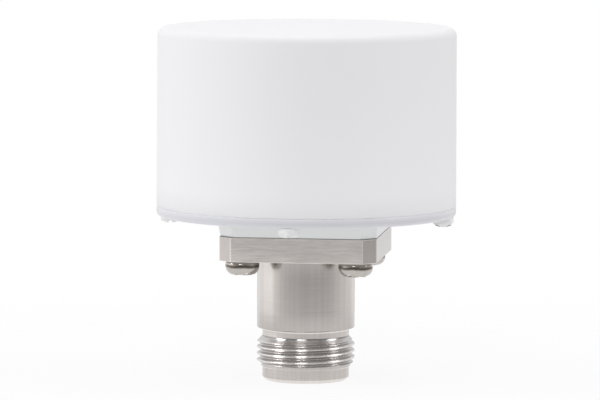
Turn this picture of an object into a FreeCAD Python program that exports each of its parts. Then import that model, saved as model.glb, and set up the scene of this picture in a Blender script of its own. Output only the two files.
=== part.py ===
import FreeCAD, Part
import math
import os

from FreeCAD import Vector

# Compact positioning antenna: a moulded radome on a round base, carried by a type N jack.
# Millimetres. The jack's nose stands on z = 0, the axis is Z, and the flange's sides face X and Y.

# ---- Driving dimensions: the type N jack ----
thread_major_radius = 15.875 / 2
nose_radius = 7.0
nose_bevel = 0.5
neck_radius = 7.0
barrel_radius = 7.9
thread_low = 2.7
thread_high = 7.3
thread_lead_in = 0.4
thread_runout = 1.1
barrel_low = 8.5
flange_low = 20.1
flange_high = 24.0
flange_side = 25.4
flange_corner_cut = 2.15
flange_hole_spacing = 18.26
flange_hole_radius = 1.65
flange_screw_head_radius = 2.75
flange_screw_head_height = 2.4
flange_screw_shank_radius = 1.48
flange_screw_length = 8.0
mouth_radius = 4.03
mouth_depth = 9.1
line_radius = 3.5
bead_radius = 4.3
bead_low = 11.0
bead_shoulder = 15.0
retainer_low = 21.6
pilot_radius = 6.0
pilot_high = 25.75
contact_radius = 1.52
contact_bore_radius = 0.84
contact_bore_depth = 4.6
contact_tip = 4.3
contact_slot_width = 0.25
contact_slot_depth = 4.2
contact_collar_radius = 2.1
rear_pin_radius = 0.64
rear_sleeve_radius = contact_collar_radius

# ---- Driving dimensions: the base and the radome ----
gasket_thickness = 0.12
pedestal_low = flange_high + gasket_thickness
pedestal_half_low = 12.62
pedestal_half_high = 13.05
pedestal_corner_low = 2.2
pedestal_corner_high = 2.4
disc_low = 26.7
disc_high = 28.25
disc_radius = 24.2
disc_edge_round = 0.6
radome_low = disc_high + gasket_thickness
radome_high = 57.05
radome_radius_low = 24.2
radome_radius_high = 24.08
radome_edge_round = 1.5
radome_wall = 2.2
radome_roof = 2.0
base_screw_circle = 22.2
base_screw_boss_radius = 2.1
base_screw_boss_height = 8.0
base_screw_head_radius = 1.75
base_screw_head_height = 1.65
base_screw_shank_radius = 0.98
base_screw_length = 7.0
base_screw_hole_radius = 1.15
insert_radius = 2.1
insert_height = 5.0

# ---- Driving dimensions: the electronics ----
board_low = 34.0
board_thickness = 1.2
board_radius = 19.2
board_post_circle = 16.3
board_post_radius = 2.0
board_screw_radius = 0.78
lower_patch_side = 28.0
lower_patch_thickness = 6.0
upper_patch_side = 20.0
upper_patch_thickness = 5.0
electrode_thickness = 0.1
pad_thickness = 0.25
feed_pin_radius = 0.45
feed_head_radius = 0.8
feed_head_height = 0.4
feed_pin_low = board_low - 1.1
upper_feeds = [(3.2, 0), (0, 3.2)]
lower_feeds = [(-11.2, 0), (0, -11.2)]

# ---- Fits ----
running_gap = 0.02
loose_gap = 0.15

origin = Vector(0, 0, 0)
up = Vector(0, 0, 1)
collar_low = bead_shoulder + 2
collar_high = retainer_low - 1
board_high = board_low + board_thickness
lower_patch_low = board_high + pad_thickness
lower_patch_high = lower_patch_low + lower_patch_thickness
lower_electrode_high = lower_patch_high + electrode_thickness
upper_patch_low = lower_electrode_high + pad_thickness
upper_patch_high = upper_patch_low + upper_patch_thickness
upper_electrode_high = upper_patch_high + electrode_thickness
roof_underside = radome_high - radome_roof


# ---- Helpers ----

# A closed wire through points, each with its own corner radius: straight runs and tangent arcs.
def roundedWire(corners):
    starts = []
    ends = []
    middles = []
    for index, (point, radius) in enumerate(corners):
        before = corners[index - 1][0].sub(point).normalize()
        after = corners[(index + 1) % len(corners)][0].sub(point).normalize()
        if radius == 0:
            starts.append(point)
            ends.append(point)
            middles.append(None)
            continue
        half = before.getAngle(after) / 2
        setback = radius / math.tan(half)
        bisector = before.add(after).normalize()
        starts.append(point.add(before.multiply(setback)))
        ends.append(point.add(after.multiply(setback)))
        middles.append(point.add(bisector.multiply(radius / math.sin(half) - radius)))
    edges = []
    for index in range(len(corners)):
        if middles[index]:
            edges.append(Part.Arc(starts[index], middles[index], ends[index]).toShape())
        target = starts[(index + 1) % len(corners)]
        if ends[index].distanceToPoint(target) > 1e-6:
            edges.append(Part.LineSegment(ends[index], target).toShape())
    return Part.Wire(edges)


# A solid turned about the Z axis from (radius, height, corner radius) points.
def turned(profile):
    wire = roundedWire([(Vector(radius, 0, height), corner) for radius, height, corner in profile])
    return Part.Face(wire).revolve(origin, up, 360)


def rod(radius, low, high, x=0, y=0):
    return Part.makeCylinder(radius, high - low, Vector(x, y, low), up)


def tube(inner, outer, low, high, x=0, y=0):
    return rod(outer, low, high, x, y).cut(rod(inner, low, high, x, y))


def block(size_x, size_y, low, high, x=0, y=0):
    return Part.makeBox(size_x, size_y, high - low, Vector(x - size_x / 2, y - size_y / 2, low))


# A square outline with its corners cut off at 45 degrees, each new corner rounded.
def cutSquareWire(half, cut, height, corner=0):
    points = []
    for turn in range(4):
        angle = math.radians(90 * turn)
        for x, y in ((half, half - cut), (half - cut, half)):
            turned_x = x * math.cos(angle) - y * math.sin(angle)
            turned_y = x * math.sin(angle) + y * math.cos(angle)
            points.append((Vector(turned_x, turned_y, height), corner))
    return roundedWire(points)


def cutSquarePlate(half, cut, low, high, corner=0):
    return Part.Face(cutSquareWire(half, cut, low, corner)).extrude(Vector(0, 0, high - low))


# Points evenly round a circle; the first lies at the start angle.
def roundCircle(radius, count, start_degrees=0):
    angles = [math.radians(start_degrees + 360 * step / count) for step in range(count)]
    return [(radius * math.cos(angle), radius * math.sin(angle)) for angle in angles]


def copies(shape, places):
    return [shape.translated(Vector(x, y, 0)) for x, y in places]


def holesAt(radius, low, high, places):
    return Part.makeCompound([rod(radius, low, high, x, y) for x, y in places])


def save(name, solids):
    shape = solids if isinstance(solids, Part.Shape) else Part.makeCompound(solids)
    shape.exportStep("parts/" + name + ".step")


flange_screw_places = [(x * flange_hole_spacing / 2, y * flange_hole_spacing / 2)
                       for x, y in ((1, 1), (-1, 1), (-1, -1), (1, -1))]
base_screw_places = roundCircle(base_screw_circle, 4)
board_post_places = roundCircle(board_post_circle, 4)


# ---- The type N jack ----

# One turned and milled body: nose, threaded end, neck, barrel, square flange and rear pilot.
# The thread is its major cylinder with the lead-in and the long runout cone.
def makeConnectorBody():
    turned_part = turned([
        (mouth_radius + 0.3, 0, 0),
        (nose_radius - nose_bevel, 0, 0),
        (nose_radius, nose_bevel, 0),
        (nose_radius, thread_low, 0),
        (thread_major_radius - thread_lead_in, thread_low, 0),
        (thread_major_radius, thread_low + thread_lead_in, 0),
        (thread_major_radius, thread_high - thread_runout, 0),
        (neck_radius, thread_high, 0),
        (neck_radius, barrel_low, 0.3),
        (barrel_radius - 0.15, barrel_low, 0),
        (barrel_radius, barrel_low + 0.15, 0),
        (barrel_radius, flange_low + 1, 0),
        (pilot_radius, flange_low + 1, 0),
        (pilot_radius, pilot_high, 0.3),
        (bead_radius, pilot_high, 0),
        (bead_radius, bead_shoulder, 0),
        (line_radius, bead_shoulder, 0),
        (line_radius, mouth_depth, 0),
        (mouth_radius, mouth_depth, 0.2),
        (mouth_radius, 0.3, 0),
    ])
    flange = cutSquarePlate(flange_side / 2, flange_corner_cut, flange_low, flange_high)
    flange = flange.cut(rod(bead_radius, flange_low, flange_high))
    flange = flange.cut(holesAt(flange_hole_radius, flange_low, flange_high, flange_screw_places))
    return turned_part.fuse(flange).removeSplitter()


# Stepped bead that centres the contact; its shoulder bears on the step in the body.
def makeDielectric():
    return turned([
        (contact_radius + running_gap, bead_low, 0),
        (line_radius - running_gap, bead_low, 0),
        (line_radius - running_gap, bead_shoulder, 0),
        (bead_radius - running_gap, bead_shoulder, 0),
        (bead_radius - running_gap, retainer_low, 0),
        (contact_collar_radius + running_gap, retainer_low, 0),
        (contact_collar_radius + running_gap, collar_low, 0),
        (contact_radius + running_gap, collar_low, 0),
    ])


# Pressed ring that keeps the bead from backing out.
def makeRetainer():
    return turned([
        (rear_sleeve_radius + running_gap, retainer_low, 0),
        (bead_radius - running_gap, retainer_low, 0),
        (bead_radius - running_gap, pilot_high - 0.3, 0),
        (rear_sleeve_radius + running_gap, pilot_high - 0.3, 0),
    ])


# Insulating sleeve over the long rear pin: it bears on the contact's collar and stops under the board.
def makePinSleeve():
    return tube(rear_pin_radius + running_gap, rear_sleeve_radius - running_gap,
                collar_high, board_low - 1.4)


# Socket with four spring fingers, a collar held in the bead, and the rear solder pin.
def makeCentreContact():
    contact = turned([
        (contact_bore_radius + 0.2, contact_tip, 0),
        (contact_radius, contact_tip, 0.25),
        (contact_radius, collar_low, 0),
        (contact_collar_radius, collar_low, 0),
        (contact_collar_radius, collar_high, 0),
        (rear_pin_radius, collar_high, 0),
        (rear_pin_radius, board_high - 0.3, 0),
        (0, board_high - 0.3, 0),
        (0, contact_tip + contact_bore_depth + contact_bore_radius, 0),
        (contact_bore_radius, contact_tip + contact_bore_depth, 0),
        (contact_bore_radius, contact_tip + 0.2, 0),
    ])
    slot_high = contact_tip + contact_slot_depth
    for size_x, size_y in ((4 * contact_radius, contact_slot_width), (contact_slot_width, 4 * contact_radius)):
        contact = contact.cut(block(size_x, size_y, contact_tip, slot_high))
    return contact


# Thin seal between the flange and the pedestal, set in a little from both edges.
def makeFlangeGasket():
    inset = 0.15
    gasket = cutSquarePlate(flange_side / 2 - inset, flange_corner_cut, flange_high, pedestal_low)
    gasket = gasket.cut(rod(pilot_radius + loose_gap, flange_high, pedestal_low))
    return gasket.cut(holesAt(flange_hole_radius, flange_high, pedestal_low, flange_screw_places))


# Pan head under the seat height, shank above it.
def makePanScrew(head_radius, head_height, shank_radius, seat, tip):
    crown_round = 0.62 * head_height
    return turned([
        (0, seat - head_height, 0),
        (head_radius, seat - head_height, crown_round),
        (head_radius, seat, 0),
        (shank_radius, seat, 0),
        (shank_radius, tip - 0.4, 0),
        (shank_radius - 0.4, tip, 0),
        (0, tip, 0),
    ])


def makeFlangeScrews():
    screw = makePanScrew(flange_screw_head_radius, flange_screw_head_height, flange_screw_shank_radius,
                         flange_low, flange_low + flange_screw_length)
    return copies(screw, flange_screw_places)


# Heat-set inserts: two knurled bands with a plain groove between them.
def makeThreadedInserts():
    low = pedestal_low + 0.05
    high = low + insert_height
    groove_low = low + 2.1
    groove_high = low + 2.9
    insert = turned([
        (1.5, low, 0),
        (insert_radius, low, 0),
        (insert_radius, groove_low, 0),
        (1.8, groove_low, 0),
        (1.8, groove_high, 0),
        (insert_radius, groove_high, 0),
        (insert_radius, high - 0.2, 0),
        (1.9, high, 0),
        (1.5, high, 0),
    ])
    return copies(insert, flange_screw_places)


# ---- The moulded base ----

# Drafted square pedestal: its outline grows towards the disc.
def makePedestal():
    low_wire = cutSquareWire(pedestal_half_low, pedestal_corner_low, pedestal_low, 0.9)
    high_wire = cutSquareWire(pedestal_half_high, pedestal_corner_high, disc_low + 0.5, 0.9)
    return Part.makeLoft([low_wire, high_wire], True, True)


def makeBasePlate():
    insert_boss_high = 30.4
    spigot_radius = 19.7
    spigot_high = 30.9
    pilot_recess_high = pilot_high + 0.25
    insert_hole_high = pedestal_low + insert_height + 0.4
    disc = turned([
        (0, disc_low, 0),
        (disc_radius, disc_low, disc_edge_round),
        (disc_radius, disc_high, 0.2),
        (0, disc_high, 0),
    ])
    pieces = [makePedestal()]
    pieces.append(tube(spigot_radius - 1.2, spigot_radius, disc_high, spigot_high))
    pieces += [rod(3.2, disc_high, insert_boss_high, x, y) for x, y in flange_screw_places]
    pieces += [rod(board_post_radius, disc_high, board_low, x, y) for x, y in board_post_places]
    # Webs tie each insert boss and each board post to the spigot wall.
    for step in range(8):
        inner = 10.5 if step % 2 else 14.6
        web = Part.makeBox(spigot_radius - 0.6 - inner, 0.9, spigot_high - 0.9 - disc_high,
                           Vector(inner, -0.45, disc_high))
        pieces.append(web.rotate(origin, up, 45 * step))
    base = disc.multiFuse(pieces).removeSplitter()
    cuts = [rod(pilot_radius + loose_gap, pedestal_low, pilot_recess_high)]
    cuts.append(rod(rear_sleeve_radius + loose_gap, pedestal_low, disc_high))
    cuts += [rod(insert_radius + running_gap, pedestal_low, insert_hole_high, x, y)
             for x, y in flange_screw_places]
    cuts += [rod(base_screw_hole_radius, disc_low, disc_high, x, y) for x, y in base_screw_places]
    cuts += [rod(board_screw_radius + running_gap, board_low - 5, board_low, x, y)
             for x, y in board_post_places]
    for cut in cuts:
        base = base.cut(cut)
    return base


def makeBaseScrews():
    screw = makePanScrew(base_screw_head_radius, base_screw_head_height, base_screw_shank_radius,
                         disc_low, disc_low + base_screw_length)
    return copies(screw, base_screw_places)


# Flat ring under the radome's rim, with a lobe round each screw.
def makeRadomeGasket():
    ring = rod(radome_radius_low - 0.1, disc_high, radome_low)
    inner = rod(radome_radius_low - radome_wall + 0.1, disc_high, radome_low)
    lobes = [rod(base_screw_boss_radius - 0.1, disc_high, radome_low, x, y) for x, y in base_screw_places]
    clip = rod(radome_radius_low - 0.1, disc_high, radome_low)
    gasket = ring.cut(inner).multiFuse([lobe.common(clip) for lobe in lobes]).removeSplitter()
    return gasket.cut(holesAt(base_screw_hole_radius, disc_high, radome_low, base_screw_places))


# Thin-walled cup with draft, four blind screw bosses on the wall and a ring that locates the foam.
def makeRadome():
    inner_low = radome_radius_low - radome_wall
    inner_high = radome_radius_high - radome_wall
    cup = turned([
        (inner_low, radome_low, 0),
        (radome_radius_low, radome_low, 0),
        (radome_radius_high, radome_high, radome_edge_round),
        (0, radome_high, 0),
        (0, roof_underside, 0),
        (inner_high, roof_underside, 1.0),
    ])
    boss_high = radome_low + base_screw_boss_height
    bosses = [rod(base_screw_boss_radius, radome_low, boss_high, x, y) for x, y in base_screw_places]
    clip = rod(inner_low + 1.0, radome_low, boss_high)
    locating_ring = tube(9.8, 10.8, roof_underside - 1.2, roof_underside + 0.5)
    cup = cup.multiFuse([boss.common(clip) for boss in bosses] + [locating_ring]).removeSplitter()
    return cup.cut(holesAt(base_screw_shank_radius + running_gap, radome_low, boss_high - 1.2, base_screw_places))


# ---- The electronics under the radome ----

def makeCircuitBoard():
    board = rod(board_radius, board_low, board_high)
    board = board.cut(holesAt(1.1, board_low, board_high, board_post_places))
    board = board.cut(rod(0.75, board_low, board_high))
    feeds = upper_feeds + lower_feeds
    return board.cut(holesAt(feed_pin_radius + running_gap, board_low, board_high, feeds))


# Cheese-head screws, driven down into the posts.
def makeBoardScrews():
    head_radius = 1.7
    shank_radius = board_screw_radius
    tip = board_low - 4.3
    screw = turned([
        (0, tip, 0),
        (shank_radius - 0.3, tip, 0),
        (shank_radius, tip + 0.3, 0),
        (shank_radius, board_high, 0),
        (head_radius, board_high, 0),
        (head_radius, board_high + 1.1, 0),
        (head_radius - 0.2, board_high + 1.3, 0),
        (0, board_high + 1.3, 0),
    ])
    slot = block(4, 0.5, board_high + 0.6, board_high + 1.3)
    return copies(screw.cut(slot), board_post_places)


# Square ceramic tile with its corners cut, drilled for the feeds that pass through it.
def makePatch(side, low, high, feeds):
    tile = cutSquarePlate(side / 2, 1.2, low, high)
    return tile.cut(holesAt(feed_pin_radius + running_gap, low, high, feeds))


# Printed electrode with two opposite tuning notches.
def makeElectrode(side, low, feeds):
    high = low + electrode_thickness
    sheet = block(side, side, low, high)
    for sign in (-1, 1):
        sheet = sheet.cut(block(1.2, 2.4, low, high, 0.2 * side, sign * side / 2))
    return sheet.cut(holesAt(feed_pin_radius + running_gap, low, high, feeds))


# Feed pins: a flat head on the electrode, and the shank down through the board.
def makeFeedPins(head_low, feeds):
    pin = turned([
        (0, feed_pin_low, 0),
        (feed_pin_radius, feed_pin_low, 0),
        (feed_pin_radius, head_low, 0),
        (feed_head_radius, head_low, 0),
        (feed_head_radius, head_low + feed_head_height, 0),
        (0, head_low + feed_head_height, 0),
    ])
    return copies(pin, feeds)


# Foam block that presses the tiles down, hollowed over the pin heads.
def makeFoamSpacer():
    foam = turned([
        (0, upper_electrode_high, 0),
        (9.5, upper_electrode_high, 0),
        (9.5, roof_underside, 0),
        (0, roof_underside, 0),
    ])
    pocket_high = upper_electrode_high + feed_head_height + 0.1
    return foam.cut(rod(4.6, upper_electrode_high, pocket_high))


# Drawn can over the amplifier, open towards the board, with vent holes in its floor.
def makeShieldCan():
    size_x = 20.0
    size_y = 9.4
    centre_y = 8.9
    wall = 0.25
    low = board_low - 2.8
    can = block(size_x, size_y, low, board_low, 0, centre_y)
    corners = [edge for edge in can.Edges if abs(edge.tangentAt(edge.FirstParameter).z) > 0.9]
    can = can.makeFillet(0.8, corners)
    can = can.cut(block(size_x - 2 * wall, size_y - 2 * wall, low + wall, board_low, 0, centre_y))
    vents = [(x, centre_y + y) for x in (-6, -2, 2, 6) for y in (-1.8, 1.8)]
    return can.cut(holesAt(0.4, low, low + wall, vents))


# Surface-mounted parts hang from the board's underside.
def makeChips(size_x, size_y, thickness, places):
    return [block(size_x, size_y, board_low - thickness, board_low, x, y) for x, y in places]


# ---- Write one file per piece ----
os.makedirs("parts", exist_ok=True)

save("connector_body", makeConnectorBody())
save("connector_dielectric", makeDielectric())
save("dielectric_retainer", makeRetainer())
save("pin_sleeve", makePinSleeve())
save("centre_contact", makeCentreContact())
save("flange_gasket", makeFlangeGasket())
save("flange_screws", makeFlangeScrews())
save("threaded_inserts", makeThreadedInserts())
save("base_plate", makeBasePlate())
save("base_screws", makeBaseScrews())
save("radome_gasket", makeRadomeGasket())
save("radome", makeRadome())
save("circuit_board", makeCircuitBoard())
save("board_screws", makeBoardScrews())
save("lower_patch_pad", cutSquarePlate(lower_patch_side / 2 - 1, 1.2, board_high, lower_patch_low)
     .cut(holesAt(feed_head_radius, board_high, lower_patch_low, upper_feeds + lower_feeds)))
save("lower_patch", makePatch(lower_patch_side, lower_patch_low, lower_patch_high, upper_feeds + lower_feeds))
save("lower_electrode", makeElectrode(lower_patch_side - 3.4, lower_patch_high, upper_feeds + lower_feeds))
save("lower_feed_pins", makeFeedPins(lower_electrode_high, lower_feeds))
save("upper_patch_pad", cutSquarePlate(upper_patch_side / 2 - 1, 1.2, lower_electrode_high, upper_patch_low)
     .cut(holesAt(feed_head_radius, lower_electrode_high, upper_patch_low, upper_feeds)))
save("upper_patch", makePatch(upper_patch_side, upper_patch_low, upper_patch_high, upper_feeds))
save("upper_electrode", makeElectrode(upper_patch_side - 3.0, upper_patch_high, upper_feeds))
save("upper_feed_pins", makeFeedPins(upper_electrode_high, upper_feeds))
save("foam_spacer", makeFoamSpacer())
save("shield_can", makeShieldCan())
save("amplifier_chips", makeChips(2.0, 2.0, 0.75, [(-5.5, 8.9), (3.0, 8.9)]))
save("band_filters", makeChips(3.0, 3.0, 1.1, [(-1.4, 8.9), (7.0, 8.9)]))
save("hybrid_couplers", makeChips(3.2, 1.6, 0.9, [(7.5, 0), (-6.0, -6.0)]))
save("voltage_regulator", makeChips(2.9, 1.6, 1.1, [(6.5, -8.0)]))
save("chip_capacitors", makeChips(1.6, 0.8, 0.8, [(2.4, -7.0), (2.4, -9.0), (10.6, -8.0), (-8.4, 7.4), (-8.4, 10.4)]))
save("chip_inductors", makeChips(1.6, 1.6, 1.2, [(3.2, -3.8), (-3.2, -3.2)]))
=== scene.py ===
import math

import bmesh
import bpy
import numpy as np
from mathutils import Matrix, Vector


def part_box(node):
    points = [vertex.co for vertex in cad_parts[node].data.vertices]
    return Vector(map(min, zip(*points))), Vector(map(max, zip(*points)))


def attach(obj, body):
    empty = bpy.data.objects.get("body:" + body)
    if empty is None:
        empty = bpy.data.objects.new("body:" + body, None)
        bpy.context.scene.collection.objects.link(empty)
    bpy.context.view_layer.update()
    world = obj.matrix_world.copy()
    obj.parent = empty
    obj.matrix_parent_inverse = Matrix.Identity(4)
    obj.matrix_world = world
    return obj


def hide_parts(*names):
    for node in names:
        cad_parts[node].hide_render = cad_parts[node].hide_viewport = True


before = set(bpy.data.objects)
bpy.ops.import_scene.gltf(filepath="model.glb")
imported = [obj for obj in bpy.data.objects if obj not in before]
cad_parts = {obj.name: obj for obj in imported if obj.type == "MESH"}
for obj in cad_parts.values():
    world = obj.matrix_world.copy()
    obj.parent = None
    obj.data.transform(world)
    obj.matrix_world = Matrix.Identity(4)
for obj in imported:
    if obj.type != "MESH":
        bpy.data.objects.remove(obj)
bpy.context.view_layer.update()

# Compact positioning antenna: matt radome, moulded base, and a type N jack with its screws.
# The part's own frame: the jack's nose stands on z = 0 and the axis is Z. Sizes here are in
# millimetres and become metres when a mesh is written.

mm = 0.001
mergeDistance = 0.0005  # points closer than this, in mm, are one point
print("scene: frame loaded,", len(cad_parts), "nodes")


# Points along a path with rounded corners. Each corner is (x, y, radius). A round corner becomes
# an arc that leaves both runs at the same distance, radius / tan(half the angle between the runs).
def roundedPath(corners, arcSteps=8, runSteps=1, closed=False):
    points = np.array([corner[:2] for corner in corners], float)
    radii = np.array([corner[2] for corner in corners], float)
    count = len(points)
    stops = []
    for i in range(count):
        isEnd = not closed and i in (0, count - 1)
        if radii[i] == 0 or isEnd:
            stops.append(points[i:i + 1])
            continue
        before = points[i - 1] - points[i]
        after = points[(i + 1) % count] - points[i]
        before /= np.linalg.norm(before)
        after /= np.linalg.norm(after)
        half = math.acos(np.clip(before @ after, -1, 1)) / 2
        bisector = (before + after) / np.linalg.norm(before + after)
        centre = points[i] + bisector * radii[i] / math.sin(half)
        start = points[i] + before * radii[i] / math.tan(half) - centre
        end = points[i] + after * radii[i] / math.tan(half) - centre
        sweep = math.pi - 2 * half
        share = np.linspace(0, 1, arcSteps + 1)[:, None]
        arc = (np.sin((1 - share) * sweep) * start + np.sin(share * sweep) * end) / math.sin(sweep)
        stops.append(centre + arc)
    path = []
    for i in range(count if closed else count - 1):
        path.append(stops[i])
        share = np.linspace(0, 1, runSteps + 1)[1:-1, None]
        path.append(stops[i][-1] + share * (stops[(i + 1) % count][0] - stops[i][-1]))
    path.append(stops[0][:1] if closed else stops[-1])
    return np.concatenate(path)


# A turned surface: every profile point (radius, height) goes once round the axis.
def turnedGrid(profile, angles, centre=(0, 0)):
    radius, height = profile[:, 0:1], profile[:, 1:2]
    x = centre[0] + radius * np.cos(angles)
    y = centre[1] + radius * np.sin(angles)
    return np.stack([x, y, height + 0 * x], 2)


# Evenly spaced angles round a full turn, the last one on top of the first.
def evenAngles(count):
    return np.linspace(0, 2 * math.pi, count + 1)


# One mesh from several grids of points. Grids meet where their edge points coincide, and a row
# that runs into the axis closes to a pole. Each grid brings the index of its material, or one
# index for each of its faces.
def pieceFromGrids(name, grids, materials, sharpAngle=32):
    vertices, faces, slots = [], [], []
    offset = 0
    for points, slotIndex in grids:
        rows, columns = points.shape[:2]
        index = np.arange(rows * columns).reshape(rows, columns) + offset
        quads = np.stack([index[:-1, :-1], index[:-1, 1:], index[1:, 1:], index[1:, :-1]], 2)
        vertices.append(points.reshape(-1, 3))
        faces.append(quads.reshape(-1, 4))
        slots.append(np.broadcast_to(np.ravel(slotIndex), len(faces[-1])))
        offset += rows * columns
    mesh = bpy.data.meshes.new(name)
    mesh.from_pydata(np.concatenate(vertices) * mm, [], np.concatenate(faces).tolist())
    mesh.polygons.foreach_set("material_index", np.concatenate(slots).astype(np.int32))
    work = bmesh.new()
    work.from_mesh(mesh)
    bmesh.ops.remove_doubles(work, verts=work.verts, dist=mergeDistance * mm)
    bmesh.ops.recalc_face_normals(work, faces=work.faces)
    work.to_mesh(mesh)
    work.free()
    mesh.shade_smooth()
    mesh.set_sharp_from_angle(angle=math.radians(sharpAngle))
    for material in materials:
        mesh.materials.append(material)
    piece = bpy.data.objects.new(name, mesh)
    bpy.context.scene.collection.objects.link(piece)
    return piece


# Puts a finished piece in the place of its CAD node, with no change to its points.
def standFor(piece, node):
    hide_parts(node)
    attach(piece, "root")
    print("scene:", piece.name, "made,", len(piece.data.polygons), "faces")


# Half the spread of a noise about 0.5: nearly all of it, or only its middle part.
wholeNoise = 0.2
middleNoise = 0.15


# A short way to fill one node tree.
class NodeTree:
    # Starts from an empty tree.
    def __init__(self, tree):
        self.tree = tree
        self.tree.nodes.clear()

    # Gives one input its value: a link where the value comes out of a node, else a constant.
    def feed(self, socket, value):
        if isinstance(value, bpy.types.NodeSocket):
            self.tree.links.new(value, socket)
        elif isinstance(value, tuple) and socket.type == "VECTOR":
            socket.default_value = value[:3]
        else:
            socket.default_value = value

    # A node with its settings, and its inputs by name or number.
    def add(self, kind, inputs=None, **settings):
        node = self.tree.nodes.new(kind)
        for key, value in settings.items():
            setattr(node, key, value)
        for key, value in (inputs or {}).items():
            self.feed(node.inputs[key], value)
        return node

    # One colour between two: low * (1 - factor) + high * factor.
    def mix(self, factor, low, high):
        return self.add("ShaderNodeMix", {0: factor, 6: low, 7: high}, data_type="RGBA").outputs[2]

    # One sum, difference, product or other result of two numbers.
    def math(self, operation, first, second=0.0):
        return self.add("ShaderNodeMath", {0: first, 1: second}, operation=operation).outputs[0]

    # A colour times a number, the same for its three channels.
    def toned(self, colour, tone):
        inputs = {0: colour, 1: tone}
        return self.add("ShaderNodeVectorMath", inputs, operation="MULTIPLY").outputs[0]

    # A number carried evenly from one range to another and held at both ends. A smooth one eases
    # in and out along 3 t^2 - 2 t^3.
    def ranged(self, value, fromLow, fromHigh, toLow=0.0, toHigh=1.0, smooth=False):
        inputs = {"Value": value, "From Min": fromLow, "From Max": fromHigh,
                  "To Min": toLow, "To Max": toHigh}
        kind = "SMOOTHSTEP" if smooth else "LINEAR"
        return self.add("ShaderNodeMapRange", inputs, interpolation_type=kind).outputs[0]

    # Noise by place, between 0 and 1 and mostly near 0.5. The scale is in cells per metre.
    def noise(self, place, scale, detail=2.0, roughness=0.5):
        inputs = {"Vector": place, "Scale": scale, "Detail": detail, "Roughness": roughness}
        return self.add("ShaderNodeTexNoise", inputs).outputs[0]

    # A noise spread from one value to another: the range is 0.5 - half to 0.5 + half.
    def spread(self, noise, low, high, half=wholeNoise):
        return self.ranged(noise, 0.5 - half, 0.5 + half, low, high)

    # The place on the piece, in metres, in the part's own frame.
    def place(self):
        return self.add("ShaderNodeTexCoord").outputs["Object"]

    # The three coordinates of a place or direction.
    def parts(self, vector):
        return self.add("ShaderNodeSeparateXYZ", {"Vector": vector}).outputs

    # A vector from two or three numbers.
    def joined(self, x, y, z=0.0):
        return self.add("ShaderNodeCombineXYZ", {"X": x, "Y": y, "Z": z}).outputs[0]


# The same for a new material.
class Nodes(NodeTree):
    # Makes the material and empties its tree.
    def __init__(self, name):
        self.material = bpy.data.materials.new(name)
        self.material.use_nodes = True
        super().__init__(self.material.node_tree)

    # Joins a shader to the material's output and hands the material back.
    def finish(self, surface):
        output = self.add("ShaderNodeOutputMaterial")
        self.tree.links.new(surface, output.inputs["Surface"])
        return self.material

    # Ends the material with one glossy surface. Its bump follows a texture, to a height in mm.
    def coat(self, colour, roughness, texture, bumpStrength, bumpHeight, others):
        bump = self.add("ShaderNodeBump", {"Height": texture, "Strength": bumpStrength,
                                           "Distance": bumpHeight * mm})
        shader = self.add("ShaderNodeBsdfPrincipled", {
            "Base Color": colour, "Roughness": roughness, "Normal": bump.outputs[0], **others})
        return self.finish(shader.outputs[0])


# A colour made darker or paler by one factor.
def scaledColour(colour, factor):
    return tuple(channel * factor for channel in colour[:3]) + (1,)


radomePlastic = {
    "colour": (0.90, 0.893, 0.91, 1),
    "shade": (0.885, 0.878, 0.895, 1),
    "cloudScale": 45,
    "roughness": 0.70,
    "roughnessReach": 0.05,
    "grain": 1800,
    "grainHeight": 0.02,
    "grainStrength": 0.25,
    "bend": 1.06,  # index of refraction: near 1, the gloss is almost nothing
}
basePlastic = {
    "colour": (0.70, 0.70, 0.74, 1),
    "shade": (0.68, 0.68, 0.72, 1),
    "cloudScale": 45,
    "roughness": 0.32,
    "roughnessReach": 0.05,
    "grain": 1500,
    "grainHeight": 0.012,
    "grainStrength": 0.25,
    "bend": 1.49,
}

# Painted light and shade on the disc's edge: it falls in tone from a painted highlight at its upper
# corner to painted shade at its middle, and rises again below it as painted light from the floor.
litDiscPlastic = dict(basePlastic, paintedLightHeights=(26.75, 27.4, 28.1), paintedLightTones=(1.14, 0.92, 1.07),
                   bend=1.36)

# Painted light: the pedestal below the disc is the same moulding in a paler copy of its colour, so
# that it lightens the shade under the disc, and it has no blue cast.
litPedestalPlastic = dict(basePlastic, colour=(0.87, 0.88, 0.875, 1), shade=(0.85, 0.86, 0.855, 1))


# Moulded plastic: a very fine spark texture in the bump, and a broad faint change of tone. Where
# the look names three heights, painted light and shade also run evenly from one to the next.
def mouldedPlastic(name, look):
    nodes = Nodes(name)
    place = nodes.place()
    fine = nodes.noise(place, look["grain"], 3.0)
    broad = nodes.noise(place, look["cloudScale"])
    colour = nodes.mix(broad, look["colour"], look["shade"])
    # Painted light and shade: the tone follows the height along the disc's edge.
    if "paintedLightHeights" in look:
        height = nodes.parts(place)[2]
        low, middle, high = (level * mm for level in look["paintedLightHeights"])
        lowTone, middleTone, highTone = look["paintedLightTones"]
        fall = nodes.ranged(height, middle, high, middleTone, highTone)
        rise = nodes.ranged(height, low, middle, lowTone - middleTone, 0.0)
        colour = nodes.toned(colour, nodes.math("ADD", fall, rise))
    smoothest = look["roughness"] - look["roughnessReach"]
    rough = nodes.spread(fine, smoothest, look["roughness"] + look["roughnessReach"])
    return nodes.coat(colour, rough, fine, look["grainStrength"], look["grainHeight"],
                      {"IOR": look["bend"]})


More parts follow.
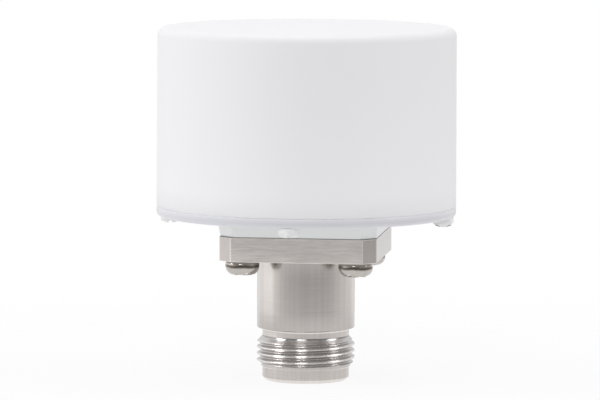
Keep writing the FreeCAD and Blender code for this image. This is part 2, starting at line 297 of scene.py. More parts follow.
steelLook = {
    "colour": (0.613, 0.573, 0.548, 1),
    "neutralColour": (0.603, 0.578, 0.566, 1),
    "lineScale": 6500,
    "lineHeight": 0.004,
    "roundSqueeze": 0.02,  # how much slower the turning marks change along their own direction
    "alongSqueeze": (0.055, 0.055, 1.0),
    "uprightSqueeze": (1.0, 1.0, 0.07),
    "reflectionBandScale": 11,
    "reflectionBandContrast": 0.93,
    "cloudScale": 160,
    "lineShare": 0.6,  # of the marks in the gloss, the rest being clouds
    "roughnessReach": 0.2,
}
# The thread's tone by radius is painted light and shade: lighter crests as a painted highlight,
# darker roots and runout as painted shade.
threadLook = {
    "toneRadii": (7.40, 7.90),
    "rootShadeTone": 0.72,
    "crestHighlightTone": 1.02,
    "runoutRadii": (7.02, 7.15),
    "runoutShadeTone": 0.55,
    "chatterScale": 7000,
    "chatterTones": (0.8, 1.1),
    "brushing": 0.9,
    "brushingTurn": 0.25,
}

# Each steel finish in the order of the jack's material slots: the direction of its marks, its
# roughness, the depth of the marks, its tone against the steel's colour, and the tone of the
# marks' troughs. The tone against the steel's colour is painted light and shade: the same steel
# made paler or darker for each kind of face as the light falls on it.
steelFinishes = {
    "turned": dict(name="turned steel", marks="round",
                   roughness=0.26, depth=0.15, tone=0.97, trough=0.93),
    "thread": dict(name="cut thread steel", marks="round", threaded=True, base="neutralColour",
                   roughness=0.24, depth=0.05, tone=1.12, trough=0.95),
    "along": dict(name="milled steel, level marks", marks="along",
                  roughness=0.40, depth=0.5, tone=1.25, trough=0.74),
    "upright": dict(name="milled steel, upright marks", marks="upright", base="neutralColour",
                    roughness=0.38, depth=0.5, tone=1.08, trough=0.84),
    "barrel": dict(name="turned steel, barrel", marks="round",
                   roughness=0.20, depth=0.12, tone=0.88, trough=0.93),
    # Painted shade: the cut corners are the same steel at a darker tone.
    "corner": dict(name="milled steel, cut corners, painted shade", marks="upright",
                   roughness=0.36, depth=0.5, tone=0.73, trough=0.84),
    # Painted highlight: the edge finish is the same steel at a paler tone.
    "edge": dict(name="broken edges, painted highlight", marks="round",
                 roughness=0.16, depth=0.05, tone=1.35, trough=0.95),
}


# Machined steel. The tool marks are noise squeezed along one direction. On turned faces they run
# round the axis and change with radius + height. On milled faces they run level or upright. On
# turned faces a second noise reads only the direction from the axis, so it paints faint bands of
# reflection that run down the face.
# A thread also has painted light and shade: a painted highlight on its crests, painted shade
# towards its roots, and more painted shade where it runs out into the neck.
# It has fine chatter marks, and the marks round it spread the highlights up and down.
def machinedSteel(name, marks, roughness, depth, tone, trough, base="colour", threaded=False):
    look = steelLook
    nodes = Nodes(name)
    place = nodes.place()
    # The finish's tone paints light and shade onto the steel's colour.
    colour = scaledColour(look[base], tone)
    others = {"Metallic": 1.0}
    if marks == "round":
        x, y, z = nodes.parts(place)
        flat = nodes.joined(x, y)
        radius = nodes.add("ShaderNodeVectorMath", {0: flat}, operation="LENGTH").outputs["Value"]
        outward = nodes.add("ShaderNodeVectorMath", {0: flat}, operation="NORMALIZE").outputs[0]
        linePlace = nodes.joined(nodes.math("MULTIPLY", x, look["roundSqueeze"]),
                                 nodes.math("MULTIPLY", y, look["roundSqueeze"]),
                                 nodes.math("ADD", radius, z))
        # Painted reflection: bands that run down the turned face, as the room would show in it.
        bands = nodes.spread(nodes.noise(outward, look["reflectionBandScale"], 4.0), 0.0, 1.0, middleNoise)
        colour = nodes.mix(bands, scaledColour(colour, look["reflectionBandContrast"]), colour)
    else:
        squeeze = look[marks + "Squeeze"]
        linePlace = nodes.add("ShaderNodeMapping", {"Vector": place, "Scale": squeeze}).outputs[0]
    if threaded:
        cut = threadLook
        root, crest = (limit * mm for limit in cut["toneRadii"])
        neck, full = (limit * mm for limit in cut["runoutRadii"])
        chatter = nodes.noise(place, cut["chatterScale"])
        # Painted highlight on the crests, painted shade towards the roots and at the runout into
        # the neck.
        rise = nodes.ranged(radius, root, crest, cut["rootShadeTone"], cut["crestHighlightTone"])
        runout = nodes.ranged(radius, neck, full, cut["runoutShadeTone"], 1.0)
        colour = nodes.toned(nodes.toned(colour, rise), runout)
        colour = nodes.toned(colour, nodes.spread(chatter, *cut["chatterTones"], middleNoise))
        others["Anisotropic"] = cut["brushing"]
        others["Anisotropic Rotation"] = cut["brushingTurn"]
        others["Tangent"] = nodes.joined(nodes.math("MULTIPLY", y, -1.0), x)
    lines = nodes.noise(linePlace, look["lineScale"], 3.0, 0.7)
    cloud = nodes.noise(place, look["cloudScale"], 3.0)
    colour = nodes.toned(colour, nodes.spread(lines, trough, 1.0))
    wear = nodes.math("ADD", nodes.math("MULTIPLY", lines, look["lineShare"]),
                      nodes.math("MULTIPLY", cloud, 1 - look["lineShare"]))
    rough = nodes.spread(wear, roughness * (1 - look["roughnessReach"]),
                         roughness * (1 + look["roughnessReach"]), middleNoise)
    return nodes.coat(colour, rough, lines, depth, look["lineHeight"], others)


cloudLook = {
    "roughnessReach": 0.15,
    "bumpStrength": 0.2,
    "bumpHeight": 0.01,
}


# The end of a cloudy finish: the same noise moves the roughness and the bump.
def cloudyCoat(nodes, colour, roughness, cloud, metallic):
    look = cloudLook
    rough = nodes.spread(cloud, roughness * (1 - look["roughnessReach"]),
                         roughness * (1 + look["roughnessReach"]))
    return nodes.coat(colour, rough, cloud, look["bumpStrength"], look["bumpHeight"],
                      {"Metallic": metallic})


# Smooth finishes that differ only in tone: a little cloudiness in the colour and the gloss.
def cloudyFinish(name, colour, roughness, metallic=0.0, contrast=0.9, scale=700.0):
    nodes = Nodes(name)
    cloud = nodes.noise(nodes.place(), scale, 3.0)
    share = nodes.spread(cloud, 0.0, 1.0, middleNoise)
    tone = nodes.mix(share, scaledColour(colour, contrast), scaledColour(colour, 1))
    return cloudyCoat(nodes, tone, roughness, cloud, metallic)


screwLook = {
    "colour": (0.535, 0.508, 0.478, 1),
    "darkReflectionColour": (0.100, 0.078, 0.064, 1),
    "roughness": 0.12,
    "bandLow": 19.18,
    "bandHigh": 19.34,
    "bandEase": 0.30,
    "bandWander": 0.35,
    "wanderScale": 620,
    "upperShare": 0.78,
    "cloudScale": 900,
    "cloudTone": 0.9,
}


# Polished screw steel with a painted reflection. The tone falls to a dark band round the head's
# side, a painted dark reflection, and comes part of the way back above it, in even ramps by height
# that noise pushes up and down a little.
def screwFinish():
    look = screwLook
    nodes = Nodes("polished screw steel, painted reflection")
    place = nodes.place()
    wander = nodes.math("SUBTRACT", nodes.noise(place, look["wanderScale"]), 0.5)
    wander = nodes.math("MULTIPLY", wander, look["bandWander"] * mm)
    height = nodes.math("ADD", nodes.parts(place)[2], wander)
    low, high, ease = look["bandLow"] * mm, look["bandHigh"] * mm, look["bandEase"] * mm
    fall = nodes.ranged(height, low - ease, low, 1.0, 0.0)
    rise = nodes.ranged(height, high, high + ease, 0.0, look["upperShare"])
    cloud = nodes.noise(place, look["cloudScale"], 3.0)
    share = nodes.math("MULTIPLY", nodes.math("ADD", fall, rise),
                       nodes.spread(cloud, look["cloudTone"], 1.0, middleNoise))
    # Painted dark reflection: the band's colour over the head's side.
    colour = nodes.mix(share, look["darkReflectionColour"], look["colour"])
    return cloudyCoat(nodes, colour, look["roughness"], cloud, 1.0)


radomeMaterial = mouldedPlastic("matt white radome plastic", radomePlastic)
baseMaterial = mouldedPlastic("pale grey base plastic, painted edge light", litDiscPlastic)
litPedestalMaterial = mouldedPlastic("pedestal plastic, painted paler", litPedestalPlastic)
jackSteels = [machinedSteel(**finish) for finish in steelFinishes.values()]
screwSteel = screwFinish()
# Painted shade: darker copies of the screw steel and the nylon for the faces inside the recesses.
recessShadeSteel = cloudyFinish("screw recess steel, painted shade", (0.16, 0.15, 0.14), 0.35, metallic=1.0)
recessShadeNylon = cloudyFinish("screw recess nylon, painted shade", (0.42, 0.42, 0.42), 0.45)
nylon = cloudyFinish("white nylon screws", (0.895, 0.90, 0.895), 0.16)
darkRubber = cloudyFinish("dark seal rubber", (0.27, 0.27, 0.275), 0.55)
paleRubber = cloudyFinish("grey seal rubber", (0.87, 0.87, 0.90), 0.55)
goldPlate = cloudyFinish("gold plated contact", (0.90, 0.65, 0.28), 0.22, metallic=1.0)
ptfeWhite = cloudyFinish("white ptfe", (0.80, 0.80, 0.79), 0.45, contrast=0.96)
print("scene: materials ready")


radomeShape = {
    "rimRound": 1.25,
    "draft": 0.12,
    "wall": 2.2,
    "roof": 2.0,
    "innerRound": 1.0,
    "footBreak": 0.05,
    "columns": 256,
}


# Double-walled cup: the inner wall first, round the rim, then up the outer wall to the roof.
def makeRadome():
    low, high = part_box("radome")
    bottom, top, outer = low[2] / mm, high[2] / mm, high[0] / mm
    crown = outer - radomeShape["draft"]
    ceiling = top - radomeShape["roof"]
    profile = roundedPath([
        (0, ceiling, 0),
        (crown - radomeShape["wall"], ceiling, radomeShape["innerRound"]),
        (outer - radomeShape["wall"], bottom, 0),
        (outer - radomeShape["footBreak"], bottom, 0),
        (outer, bottom + radomeShape["footBreak"], 0),
        (crown, top, radomeShape["rimRound"]),
        (0, top, 0),
    ], arcSteps=12, runSteps=8)
    grid = turnedGrid(profile, evenAngles(radomeShape["columns"]))
    standFor(pieceFromGrids("radome_shell", [(grid, 0)], [radomeMaterial], 50), "radome")


baseShape = {
    "discLow": 26.7,
    "discRound": 0.6,
    "topRound": 0.17,
    "undersideRadius": 18.6,  # where the disc's circles give way to the pedestal's squares
    "pedestalHalfLow": 12.62,
    "pedestalHalfHigh": 13.05,
    "cornerCut": 2.3,
    "cornerRound": 0.9,
    "filletReach": 1.5,
    "filletRound": 0.3,
    "footRound": 0.08,
    "footReach": 2.5,
    "recessRadius": 6.2,
}


# Outline of a square with cut, rounded corners, as columns of x and y. Every ring made here has
# the same number of points in the same order, so rings of different sizes join one to one.
def cutSquareRing(half, cut, cornerRound, arcSteps=3, runSteps=12):
    corners = []
    for turn in range(4):
        cosine, sine = round(math.cos(turn * math.pi / 2)), round(math.sin(turn * math.pi / 2))
        for x, y in ((half, half - cut), (half - cut, half)):
            corners.append((x * cosine - y * sine, x * sine + y * cosine, cornerRound))
    return roundedPath(corners, arcSteps, runSteps, closed=True)


# A ring of x and y points lifted to a height, as one row of a grid.
def ringRow(ring, height):
    return np.column_stack([ring, np.full(len(ring), height)])


# The circle whose points lie in the same directions as those of another ring.
def circleLike(ring, radius):
    return ring / np.linalg.norm(ring, axis=1)[:, None] * radius


# Disc and pedestal in one surface: over the disc's edge, in along its underside, and down the
# pedestal, whose outline shrinks as it falls and rolls in at the foot. A round recess for the
# jack's pilot closes it in the middle.
def makeBase():
    low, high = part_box("base_plate")
    shape = baseShape
    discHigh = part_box("radome_gasket")[0][2] / mm
    outer = high[0] / mm
    pedestalLow = low[2] / mm
    guide = cutSquareRing(shape["pedestalHalfLow"], shape["cornerCut"], shape["cornerRound"])
    edge = roundedPath([
        (0, discHigh, 0),
        (outer, discHigh, shape["topRound"]),
        (outer, shape["discLow"], shape["discRound"]),
        (shape["undersideRadius"], shape["discLow"], 0),
    ], arcSteps=10, runSteps=6)
    rows = [ringRow(circleLike(guide, radius), height) for radius, height in edge]
    # The fillet where the pedestal meets the disc, then the drafted wall and the rolled foot.
    wall = roundedPath([
        (shape["pedestalHalfHigh"] + shape["filletReach"], shape["discLow"], 0),
        (shape["pedestalHalfHigh"], shape["discLow"], shape["filletRound"]),
        (shape["pedestalHalfLow"], pedestalLow, shape["footRound"]),
        (shape["pedestalHalfLow"] - shape["footReach"], pedestalLow, 0),
    ], arcSteps=6, runSteps=4)
    foot = [ringRow(cutSquareRing(half, shape["cornerCut"], shape["cornerRound"]), height)
            for half, height in wall]
    rows.append(foot[0])
    foot.append(ringRow(circleLike(guide, shape["recessRadius"]), pedestalLow))
    foot.append(ringRow(circleLike(guide, shape["recessRadius"]), shape["discLow"]))
    foot.append(ringRow(circleLike(guide, 0.0), shape["discLow"]))
    grids = [(np.stack(rows), 0), (np.stack(foot), 1)]
    piece = pieceFromGrids("base_moulding", grids, [baseMaterial, litPedestalMaterial], 35)
    standFor(piece, "base_plate")


jackShape = {
    "mouthRadius": 4.03,
    "mouthDepth": 9.1,
    "mouthRound": 0.2,
    "mouthBevel": 0.3,
    "lineRadius": 3.5,
    "lineHigh": 15.0,
    "noseRadius": 7.0,
    "noseBevel": 0.5,
    "noseRound": 0.06,
    "collarLow": 2.05,
    "collarHeight": 0.2,
    "threadLow": 2.7,
    "threadHigh": 7.3,
    "majorRadius": 15.875 / 2,
    "threadDepth": 0.62,
    "pitch": 25.4 / 24,
    "crestWidth": 0.05,
    "rootWidth": 0.06,
    "firstCrest": 0.514,
    "leadIn": 0.4,
    "runout": 1.1,
    "runoutEase": 0.35,
    "neckRadius": 7.0,
    "neckRound": 0.35,
    "barrelLow": 8.5,
    "barrelRadius": 7.9,
    "shoulderRound": 0.15,
    "filletRound": 0.25,
    "filletReach": 0.6,
    "flangeLow": 20.1,
    "flangeHalf": 12.7,
    "cornerCut": 2.15,
    "cornerRound": 0.12,
    "edgeBreak": 0.08,
    "undersideInset": 1.2,
    "pilotRadius": 6.0,
    "pilotHigh": 25.75,
    "boreRadius": 3.0,
}


# The thread: a row of points follows the helix, so height = start + pitch * turn. The radius is the
# smallest of three values: the thread form, which falls from crest to root along an S curve
# 3 t^2 - 2 t^3, the lead-in cone, and the runout cone, which eases out of the neck along a
# hyperbola. Heights beyond the two ends are held at the ends.
def threadGrid(angles, shape):
    flankSteps = 10
    crestHalf = shape["crestWidth"] / 2 / shape["pitch"]
    rootHalf = shape["rootWidth"] / 2 / shape["pitch"]
    flank = np.linspace(crestHalf, 0.5 - rootHalf, flankSteps)
    half = np.concatenate([[0.0], flank])
    turnShare = np.concatenate([half, 1 - half[::-1][:-1]])
    turns = int((shape["threadHigh"] - shape["threadLow"]) / shape["pitch"]) + 3
    along = (np.arange(turns)[:, None] + turnShare).reshape(-1, 1) - 1
    lift = shape["pitch"] * (angles / (2 * math.pi))
    firstTurn = math.floor(shape["threadLow"] / shape["pitch"])
    height = shape["firstCrest"] + (firstTurn - 1 + along) * shape["pitch"] + lift
    height = np.clip(height, shape["threadLow"], shape["threadHigh"])
    fromCrest = ((height - shape["firstCrest"] - lift) / shape["pitch"] + 0.5) % 1 - 0.5
    fall = np.clip((np.abs(fromCrest) - crestHalf) / (0.5 - rootHalf - crestHalf), 0, 1)
    form = shape["majorRadius"] - shape["threadDepth"] * (3 * fall ** 2 - 2 * fall ** 3)
    leadIn = shape["majorRadius"] - shape["leadIn"] + (height - shape["threadLow"])
    ease = shape["runoutEase"]
    rise = shape["majorRadius"] - shape["neckRadius"]
    slope = rise / (math.hypot(shape["runout"], ease) - ease)
    runout = shape["neckRadius"] + (np.hypot(shape["threadHigh"] - height, ease) - ease) * slope
    radius = np.minimum(form, np.minimum(leadIn, runout))
    return np.stack([radius * np.cos(angles), radius * np.sin(angles), height], 2)


# One ring of the flange, inset from its side faces. The cut face stays parallel to itself, so its
# corner cut shrinks by (2 - root 2) of the inset.
def flangeRing(inset=0.0):
    cut = jackShape["cornerCut"] - (2 - math.sqrt(2)) * inset
    half = jackShape["flangeHalf"] - inset
    return cutSquareRing(half, cut, jackShape["cornerRound"], arcSteps=2, runSteps=22)


# The whole jack body. Turned stretches are circles, and the flange's rings are cut squares with
# the same columns, so one skin runs from the mouth to the pilot behind the flange. Each stretch
# names the steel finish that it carries.
def makeJackBody():
    shape = jackShape
    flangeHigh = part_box("flange_gasket")[0][2] / mm
    guide = flangeRing()
    angles = np.unwrap(np.arctan2(guide[:, 1], guide[:, 0]))
    steel = {finish: slot for slot, finish in enumerate(steelFinishes)}

    noseSteps = 3
    collarRadius = shape["noseRadius"] + shape["collarHeight"]
    nose = roundedPath([
        (shape["lineRadius"], shape["lineHigh"], 0),
        (shape["lineRadius"], shape["mouthDepth"], 0),
        (shape["mouthRadius"], shape["mouthDepth"], shape["mouthRound"]),
        (shape["mouthRadius"], shape["mouthBevel"], 0),
        (shape["mouthRadius"] + shape["mouthBevel"], 0, 0),
        (shape["noseRadius"] - shape["noseBevel"], 0, shape["noseRound"]),
        (shape["noseRadius"], shape["noseBevel"], shape["noseRound"]),
        (shape["noseRadius"], shape["collarLow"], 0),
        (collarRadius, shape["collarLow"] + shape["collarHeight"], 0),
        (collarRadius, shape["threadLow"], 0),
    ], arcSteps=4, runSteps=noseSteps)
    bevelRow = np.argmax(nose[:, 0] > shape["noseRadius"] - shape["noseBevel"])
    noseRow = np.argmax(nose[:, 0] > shape["noseRadius"] - 0.001)
    collarTop = len(nose) - 1 - noseSteps
    collarRow = collarTop - noseSteps

    thread = threadGrid(angles, shape)
    threadStep = np.stack([turnedGrid(nose[-1:], angles)[0], thread[0]])

    barrel = roundedPath([
        (shape["neckRadius"], shape["threadHigh"], 0),
        (shape["neckRadius"], shape["barrelLow"], shape["neckRound"]),
        (shape["barrelRadius"], shape["barrelLow"], shape["shoulderRound"]),
        (shape["barrelRadius"], shape["flangeLow"], shape["filletRound"]),
        (shape["barrelRadius"] + shape["filletReach"], shape["flangeLow"], 0),
    ], arcSteps=6, runSteps=4)
    filletRow = np.argmax(barrel[:, 0] > shape["neckRadius"] + 0.001) - 1
    barrelRow = np.argmax(barrel[:, 0] > shape["barrelRadius"] - 0.2)

    edge = shape["edgeBreak"]
    underside = [turnedGrid(barrel[-1:], angles)[0],
                 ringRow(flangeRing(shape["undersideInset"]), shape["flangeLow"]),
                 ringRow(flangeRing(edge), shape["flangeLow"])]
    side = [ringRow(flangeRing(), shape["flangeLow"] + edge),
            ringRow(flangeRing(), flangeHigh - edge)]
    pilot = turnedGrid(np.array([
        (shape["pilotRadius"], flangeHigh),
        (shape["pilotRadius"], shape["pilotHigh"]),
        (shape["boreRadius"], shape["pilotHigh"]),
        (shape["boreRadius"], shape["lineHigh"]),
        (shape["lineRadius"], shape["lineHigh"]),
    ]), angles)
    topEdge = ringRow(flangeRing(edge), flangeHigh)

    # Side faces: the long front and back faces carry level marks, the other two long faces upright
    # marks, and the cut corners their own.
    middle = np.abs(side[0][:-1] + side[0][1:]) / 2
    onFace = shape["flangeHalf"] - 0.1
    sideSteel = np.where(middle[:, 1] > onFace, steel["along"],
                         np.where(middle[:, 0] > onFace, steel["upright"], steel["corner"]))

    grids = [
        (turnedGrid(nose[:bevelRow + 1], angles), steel["turned"]),
        (turnedGrid(nose[bevelRow:noseRow + 1], angles), steel["edge"]),
        (turnedGrid(nose[noseRow:collarRow + 1], angles), steel["turned"]),
        (turnedGrid(nose[collarRow:collarTop + 1], angles), steel["edge"]),
        (turnedGrid(nose[collarTop:], angles), steel["turned"]),
        (threadStep, steel["thread"]),
        (thread, steel["thread"]),
        (turnedGrid(barrel[:filletRow + 1], angles), steel["turned"]),
        (turnedGrid(barrel[filletRow:barrelRow + 1], angles), steel["edge"]),
        (turnedGrid(barrel[barrelRow:], angles), steel["barrel"]),
        (np.stack(underside), steel["turned"]),
        (np.stack([underside[-1], side[0]]), steel["edge"]),
        (np.stack([side[1], topEdge]), steel["edge"]),
        (np.stack([topEdge, pilot[0]]), steel["turned"]),
        (pilot, steel["turned"]),
        (np.stack(side), sideSteel),
    ]
    standFor(pieceFromGrids("jack_body", grids, jackSteels, 28), "connector_body")


flangeScrewShape = {
    "node": "flange_screws",
    "placeRadius": 18.26 / math.sqrt(2),  # the corners of a square
    "firstPlace": 45,  # degrees round from +X
    "headRadius": 2.75,
    "headHeight": 2.4,
    "crownShare": 0.62,  # the crown's radius against the head's height
    "seatRound": 0.55,
    "shankRadius": 1.48,
    "recessReach": 1.1,
    "recessWidth": 0.7,
    "recessDepth": 1.0,
    "turns": (20, 65, -10, 40),
}
baseScrewShape = {
    "node": "base_screws",
    "placeRadius": 22.2,
    "firstPlace": 0,
    "headRadius": 1.75,
    "headHeight": 1.65,
    "crownShare": 0.62,
    "seatRound": 0.1,
    "shankRadius": 0.98,
    "recessReach": 0.95,
    "recessWidth": 0.36,
    "recessDepth": 0.7,
    "turns": (52, 50, 7, 7),
}
crownDrop = 0.06  # how far below the top the crown's run from the middle ends
seatBreak = 0.1  # how far inside its rounded edge the flat seat ends
tipCone = 0.4
barLines = (0, 0.7, 0.98, 1.06)  # grid lines against the recess's half width
reachLines = (0.9, 1.02)  # and against its reach
recessMiddle, recessFall = 1.15, 0.45  # its depth: middle - fall * distance / reach, at most 1


# A pan head with a cross recess. The grid is a square pressed into a disc, so the recess's edges
# follow the grid, with a line close to each side of every edge. The distance from the middle runs
# along the head's profile, and the recess is cut where a point lies inside one of two crossed
# bars. It gets shallower towards the bars' ends, and its faces take the second material, a darker
# copy of the head's that paints the shade inside the recess.
def screwHead(shape, seat, place, turnDegrees):
    bar = shape["recessWidth"] / 2 / shape["headRadius"]
    reach = shape["recessReach"] / shape["headRadius"]
    stops = [bar * line for line in barLines] + [reach * line for line in reachLines]
    side = np.concatenate([stops, np.linspace(stops[-1], 1, 12)[1:]])
    side = np.concatenate([-side[::-1][:-1], side])
    u, v = np.meshgrid(side, side, indexing="ij")
    x = u * np.sqrt(1 - v ** 2 / 2)
    y = v * np.sqrt(1 - u ** 2 / 2)
    share = np.clip(np.hypot(x, y), 0, 1)
    crown = shape["crownShare"] * shape["headHeight"]
    profile = roundedPath([
        (0, -shape["headHeight"], 0),
        (shape["headRadius"], crownDrop - shape["headHeight"], crown),
        (shape["headRadius"], 0, shape["seatRound"]),
        (shape["headRadius"] - shape["seatRound"] - seatBreak, 0, 0),
    ], arcSteps=16, runSteps=8)
    steps = np.concatenate([[0], np.cumsum(np.linalg.norm(np.diff(profile, axis=0), axis=1))])
    radius = np.interp(share * steps[-1], steps, profile[:, 0])
    height = np.interp(share * steps[-1], steps, profile[:, 1])
    narrow, wide = np.minimum(np.abs(u), np.abs(v)), np.maximum(np.abs(u), np.abs(v))
    inside = (narrow < bar) & (wide < reach)
    taper = np.clip(recessMiddle - wide / reach * recessFall, 0, 1)
    height = height + np.where(inside, shape["recessDepth"] * taper, 0)
    scale = np.where(share > 0, radius / np.maximum(share, 1e-9), shape["headRadius"])
    angle = math.radians(turnDegrees)
    px, py = x * scale, y * scale
    points = np.stack([place[0] + px * math.cos(angle) - py * math.sin(angle),
                       place[1] + px * math.sin(angle) + py * math.cos(angle), seat + height], 2)
    inRecess = inside[:-1, :-1] | inside[:-1, 1:] | inside[1:, 1:] | inside[1:, :-1]
    return points, inRecess.astype(int)


# Heads and shanks of one set, a quarter turn apart. Each shank is turned, with a cone at its tip.
def makeScrews(name, shape, materials):
    low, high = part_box(shape["node"])
    seat = low[2] / mm + shape["headHeight"]
    tip = high[2] / mm
    shank = np.array([
        (shape["headRadius"] - shape["seatRound"] - seatBreak, seat),
        (shape["shankRadius"], seat),
        (shape["shankRadius"], tip - tipCone),
        (shape["shankRadius"] - tipCone, tip),
        (0, tip),
    ])
    grids = []
    for number, turn in enumerate(shape["turns"]):
        turned = math.radians(shape["firstPlace"] + 90 * number)
        place = (shape["placeRadius"] * math.cos(turned), shape["placeRadius"] * math.sin(turned))
        grids.append(screwHead(shape, seat, place, turn))
        grids.append((turnedGrid(shank, evenAngles(48), place), 0))
    standFor(pieceFromGrids(name, grids, materials, 40), shape["node"])


makeRadome()
makeBase()
makeJackBody()
makeScrews("flange_screw_set", flangeScrewShape, [screwSteel, recessShadeSteel])
makeScrews("base_screw_set", baseScrewShape, [nylon, recessShadeNylon])


# The pieces that keep their own mesh. A piece that isn't named here takes another one's finish.
innerFinish = {
    "flange_gasket": darkRubber,
    "radome_gasket": paleRubber,
    "connector_dielectric": ptfeWhite,
    "pin_sleeve": ptfeWhite,
    "centre_contact": goldPlate,
    "dielectric_retainer": cloudyFinish("turned brass", (0.72, 0.52, 0.24), 0.3, metallic=1.0),
    "circuit_board": cloudyFinish("green solder mask", (0.02, 0.12, 0.06), 0.3, contrast=0.8),
    "foam_spacer": cloudyFinish("dark foam", (0.05, 0.05, 0.055), 0.9, contrast=0.6, scale=1600.0),
    "shield_can": cloudyFinish("tin plate", (0.72, 0.72, 0.71), 0.25, metallic=1.0),
    "ceramic": cloudyFinish("fired ceramic", (0.70, 0.62, 0.48), 0.6, contrast=0.93),
    "silver": cloudyFinish("silver print", (0.80, 0.79, 0.76), 0.35, metallic=1.0),
    "chip": cloudyFinish("black chip resin", (0.02, 0.02, 0.02), 0.45),
    "pad": cloudyFinish("white adhesive pad", (0.75, 0.75, 0.73), 0.7),
}
sameAs = {
    "threaded_inserts": "dielectric_retainer",
    "lower_feed_pins": "shield_can",
    "upper_feed_pins": "shield_can",
    "board_screws": "shield_can",
    "lower_patch": "ceramic",
    "upper_patch": "ceramic",
    "band_filters": "ceramic",
    "hybrid_couplers": "ceramic",
    "chip_capacitors": "ceramic",
    "lower_electrode": "silver",
    "upper_electrode": "silver",
    "amplifier_chips": "chip",
    "voltage_regulator": "chip",
    "chip_inductors": "chip",
    "lower_patch_pad": "pad",
    "upper_patch_pad": "pad",
}
for nodeName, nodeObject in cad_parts.items():
    if nodeObject.hide_render:
        continue
    finish = innerFinish[sameAs.get(nodeName, nodeName)]
    for materialSlot in nodeObject.material_slots:
        materialSlot.material = finish
print("scene: inner pieces finished")


cameraView = {
    "azimuth": 7.24,
    "elevation": 5.34,
    "distance": 837.07,
    "roll": 0.26,
    "target": (-1.03, 0, 29.08),
    "lens": 310.9,
    "sensor": 36,
    "clip": (0.05, 20),  # metres
}
studio = {
    "floorRadius": 160,
    "floorHeight": -0.02,
    "floorFade": (45, 152),
    "floorColour": (0.90, 0.90, 0.90, 1),
    "floorShade": (0.88, 0.88, 0.88, 1),
    "floorShadow": 0.14,
    "floorGlow": 0.75,
    "above": 0.87,
    "aboveFrom": 20,
    "aboveFull": 55,
}
pureWhite = (1, 1, 1, 1)

# How bright the room is round the object, by degrees from the camera's side towards its right:
# first as light on matt surfaces, then as metal and gloss see it, then the share of the dark gap
# above the horizon that gloss sees there.
roomLevels = {
    -180: (0.46, 0.60, 0),
    -150: (0.64, 1.25, 0),
    -122: (0.90, 1.40, 0),
    -106: (1.12, 1.60, 0),
    -90: (1.12, 1.62, 0),
    -78: (0.92, 1.25, 0.1),
    -62: (0.73, 0.92, 0.6),
    -45: (0.61, 0.70, 1),
    0: (0.52, 0.56, 1),
    40: (0.54, 0.59, 1),
    65: (0.60, 0.70, 1),
    90: (0.72, 0.95, 1),
    112: (0.83, 1.08, 0.8),
    145: (0.80, 1.24, 0),
    180: (0.46, 0.60, 0),
}

# The dark gap: the share of the room's level that stays, by degrees above the horizon.
riseLevels = {0: 1.0, 7: 1.0, 11: 0.35, 18: 0.35, 25: 1.0}


# A unit vector from degrees round from the front towards +X, and degrees up:
# (sin turn * cos rise, -cos turn * cos rise, sin rise).
def wayTo(turn, rise):
    turn, rise = math.radians(turn), math.radians(rise)
    level = math.cos(rise)
    return Vector((math.sin(turn) * level, -math.cos(turn) * level, math.sin(rise)))


# A round level floor. Camera and gloss see it as near white, with a share of its real shading kept
# so that the shadow shows. Matt surfaces are lit by an even share of white from it. It fades into
# the white surroundings towards its rim, and from below it is clear.
def makeFloor():
    nodes = Nodes("studio floor")
    ray = nodes.add("ShaderNodeLightPath")
    seen = nodes.math("MAXIMUM", ray.outputs["Is Camera Ray"], ray.outputs["Is Glossy Ray"])
    seen = nodes.math("MAXIMUM", seen, ray.outputs["Is Transmission Ray"])
    place = nodes.place()
    paper = nodes.mix(nodes.noise(place, 30), studio["floorColour"], studio["floorShade"])
    matt = nodes.add("ShaderNodeBsdfDiffuse", {"Color": paper}).outputs[0]
    white = nodes.add("ShaderNodeEmission", {"Color": pureWhite, "Strength": 1.0}).outputs[0]
    share = nodes.math("MULTIPLY", seen, 1 - studio["floorShadow"])
    glow = nodes.math("MULTIPLY", ray.outputs["Is Diffuse Ray"], studio["floorGlow"])
    share = nodes.math("MAXIMUM", share, glow)
    both = nodes.add("ShaderNodeMixShader", {0: share, 1: matt, 2: white}).outputs[0]
    reach = nodes.add("ShaderNodeVectorMath", {0: place}, operation="LENGTH").outputs["Value"]
    fade = nodes.ranged(reach, *(limit * mm for limit in studio["floorFade"]), smooth=True)
    behind = nodes.add("ShaderNodeNewGeometry").outputs["Backfacing"]
    clear = nodes.add("ShaderNodeBsdfTransparent").outputs[0]
    gone = nodes.math("MAXIMUM", fade, behind)
    faded = nodes.add("ShaderNodeMixShader", {0: gone, 1: both, 2: clear}).outputs[0]
    rings = np.linspace(0, studio["floorRadius"], 9)
    profile = np.stack([rings, np.full(len(rings), studio["floorHeight"])], 1)
    grid = turnedGrid(profile, evenAngles(64))
    floor = pieceFromGrids("studio_floor", [(grid, 0)], [nodes.finish(faded)])
    if floor.data.polygons[0].normal.z < 0:
        floor.data.flip_normals()


# A colour ramp whose stops are given as pairs of position and colour.
def rampOf(nodes, value, stops):
    ramp = nodes.add("ShaderNodeValToRGB", {0: value})
    elements = ramp.color_ramp.elements
    while len(elements) < len(stops):
        elements.new(0.5)
    for element, (position, colour) in zip(elements, stops):
        element.position = position
        element.color = colour
    return ramp.outputs[0]


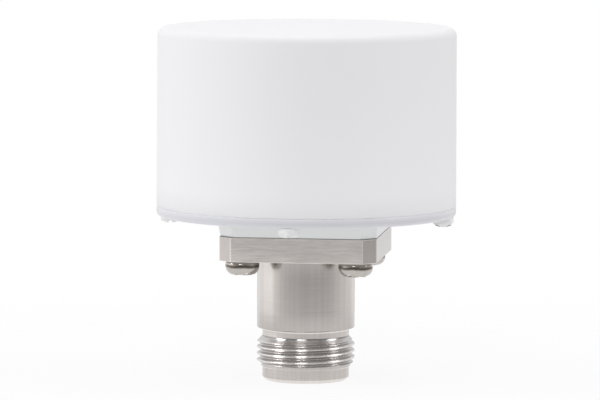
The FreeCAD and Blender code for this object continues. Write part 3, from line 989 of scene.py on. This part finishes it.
# The world: white where the camera looks. As light it is a plain soft room. Its level follows a
# ramp round the horizon, at half its value because a ramp holds no more than 1, and rises or falls
# to one even level overhead. Metal and gloss also see a dark gap above the horizon.
def makeWorld():
    world = bpy.data.worlds.new("studio surroundings")
    bpy.context.scene.world = world
    world.use_nodes = True
    nodes = NodeTree(world.node_tree)
    output = nodes.add("ShaderNodeOutputWorld")
    ray = nodes.add("ShaderNodeLightPath")
    isGloss = ray.outputs["Is Glossy Ray"]
    way = nodes.add("ShaderNodeTexCoord").outputs["Generated"]
    turned = nodes.add("ShaderNodeVectorRotate", {
        "Vector": way, "Angle": -math.radians(cameraView["azimuth"])}, rotation_type="Z_AXIS")
    right, back, up = nodes.parts(turned.outputs[0])
    angle = nodes.math("ARCTAN2", right, nodes.math("MULTIPLY", back, -1.0))
    around = nodes.ranged(angle, -math.pi, math.pi)
    room = rampOf(nodes, around, [((degrees + 180) / 360, (matt / 2, gloss / 2, gap, 1))
                                  for degrees, (matt, gloss, gap) in sorted(roomLevels.items())])
    matt, gloss, gap = nodes.add("ShaderNodeSeparateColor", {0: room}).outputs
    extra = nodes.math("MULTIPLY", nodes.math("SUBTRACT", gloss, matt), isGloss)
    low = nodes.math("MULTIPLY", nodes.math("ADD", matt, extra), 2.0)
    rise = rampOf(nodes, up, [(math.sin(math.radians(degrees)), (share, share, share, 1))
                              for degrees, share in sorted(riseLevels.items())])
    overhead = nodes.ranged(up, math.sin(math.radians(studio["aboveFrom"])),
                            math.sin(math.radians(studio["aboveFull"])), smooth=True)
    high = nodes.math("MULTIPLY", overhead, studio["above"])
    low = nodes.math("MULTIPLY", nodes.math("SUBTRACT", 1.0, overhead), low)
    level = nodes.math("ADD", low, high)
    gapShare = nodes.math("MULTIPLY", gap, isGloss)
    loss = nodes.math("MULTIPLY", gapShare, nodes.math("SUBTRACT", 1.0, rise))
    level = nodes.math("MULTIPLY", level, nodes.math("SUBTRACT", 1.0, loss))
    light = nodes.add("ShaderNodeBackground", {"Color": pureWhite, "Strength": level}).outputs[0]
    seen = nodes.add("ShaderNodeBackground", {"Color": pureWhite, "Strength": 1.0}).outputs[0]
    mixed = nodes.add("ShaderNodeMixShader", {0: ray.outputs["Is Camera Ray"], 1: light, 2: seen})
    nodes.tree.links.new(mixed.outputs[0], output.inputs[0])


# Soft lights: degrees round from the camera's side towards +X, degrees up, metres away, width and
# height in metres, and the powers in watts for matt surfaces and for gloss.
softLights = {
    "left": (-80, 34, 0.8, 0.26, 0.40, 0.7, 4.0),
    "front": (-13, 42, 0.8, 0.26, 0.50, 1.0, 4.0),
    "right": (84, 34, 0.8, 0.30, 0.40, 0.8, 2.6),
}
lampTarget = Vector((0, 0, 0.03))
glossReach = 0.95  # the lamps that gloss sees, against the distance of the others


# Two flat lamps that face the object's middle from one direction: place = target + way * distance.
# The first lights matt surfaces only. Gloss sees only the second, which stands a little closer.
def makeSoftLight(name, turn, rise, distance, width, height, mattPower, glossPower):
    way = wayTo(turn + cameraView["azimuth"], rise)
    lamps = (("matt", mattPower, distance), ("gloss", glossPower, glossReach * distance))
    for role, power, reach in lamps:
        light = bpy.data.lights.new(name + " light, " + role, "AREA")
        light.shape = "RECTANGLE"
        light.size = width
        light.size_y = height
        light.energy = power
        lamp = bpy.data.objects.new(light.name, light)
        lamp.visible_glossy = role == "gloss"
        lamp.visible_diffuse = role == "matt"
        lamp.location = lampTarget + way * reach
        lamp.rotation_mode = "QUATERNION"
        lamp.rotation_quaternion = (-way).to_track_quat("-Z", "Y")
        bpy.context.scene.collection.objects.link(lamp)


# The camera looks at the target from its own direction: place = target + way * distance. The
# target is given as millimetres to the camera's right, nothing, and millimetres up.
def makeCamera():
    view = cameraView
    way = wayTo(view["azimuth"], view["elevation"])
    azimuth = math.radians(view["azimuth"])
    side = Vector((math.cos(azimuth), math.sin(azimuth), 0))
    target = side * view["target"][0] + Vector((0, 0, view["target"][2]))
    data = bpy.data.cameras.new("camera")
    data.sensor_width = view["sensor"]
    data.lens = view["lens"]
    data.clip_start, data.clip_end = view["clip"]
    camera = bpy.data.objects.new("camera", data)
    camera.rotation_mode = "QUATERNION"
    roll = Matrix.Rotation(math.radians(view["roll"]), 3, "Z")
    look = (-way).to_track_quat("-Z", "Y").to_matrix() @ roll
    camera.rotation_quaternion = look.to_quaternion()
    camera.location = (target + way * view["distance"]) * mm
    bpy.context.scene.collection.objects.link(camera)
    bpy.context.scene.camera = camera


makeFloor()
makeWorld()
for lightName, settings in softLights.items():
    makeSoftLight(lightName, *settings)
makeCamera()
bpy.context.scene.view_settings.view_transform = "Standard"
print("scene: floor, lights and camera placed")
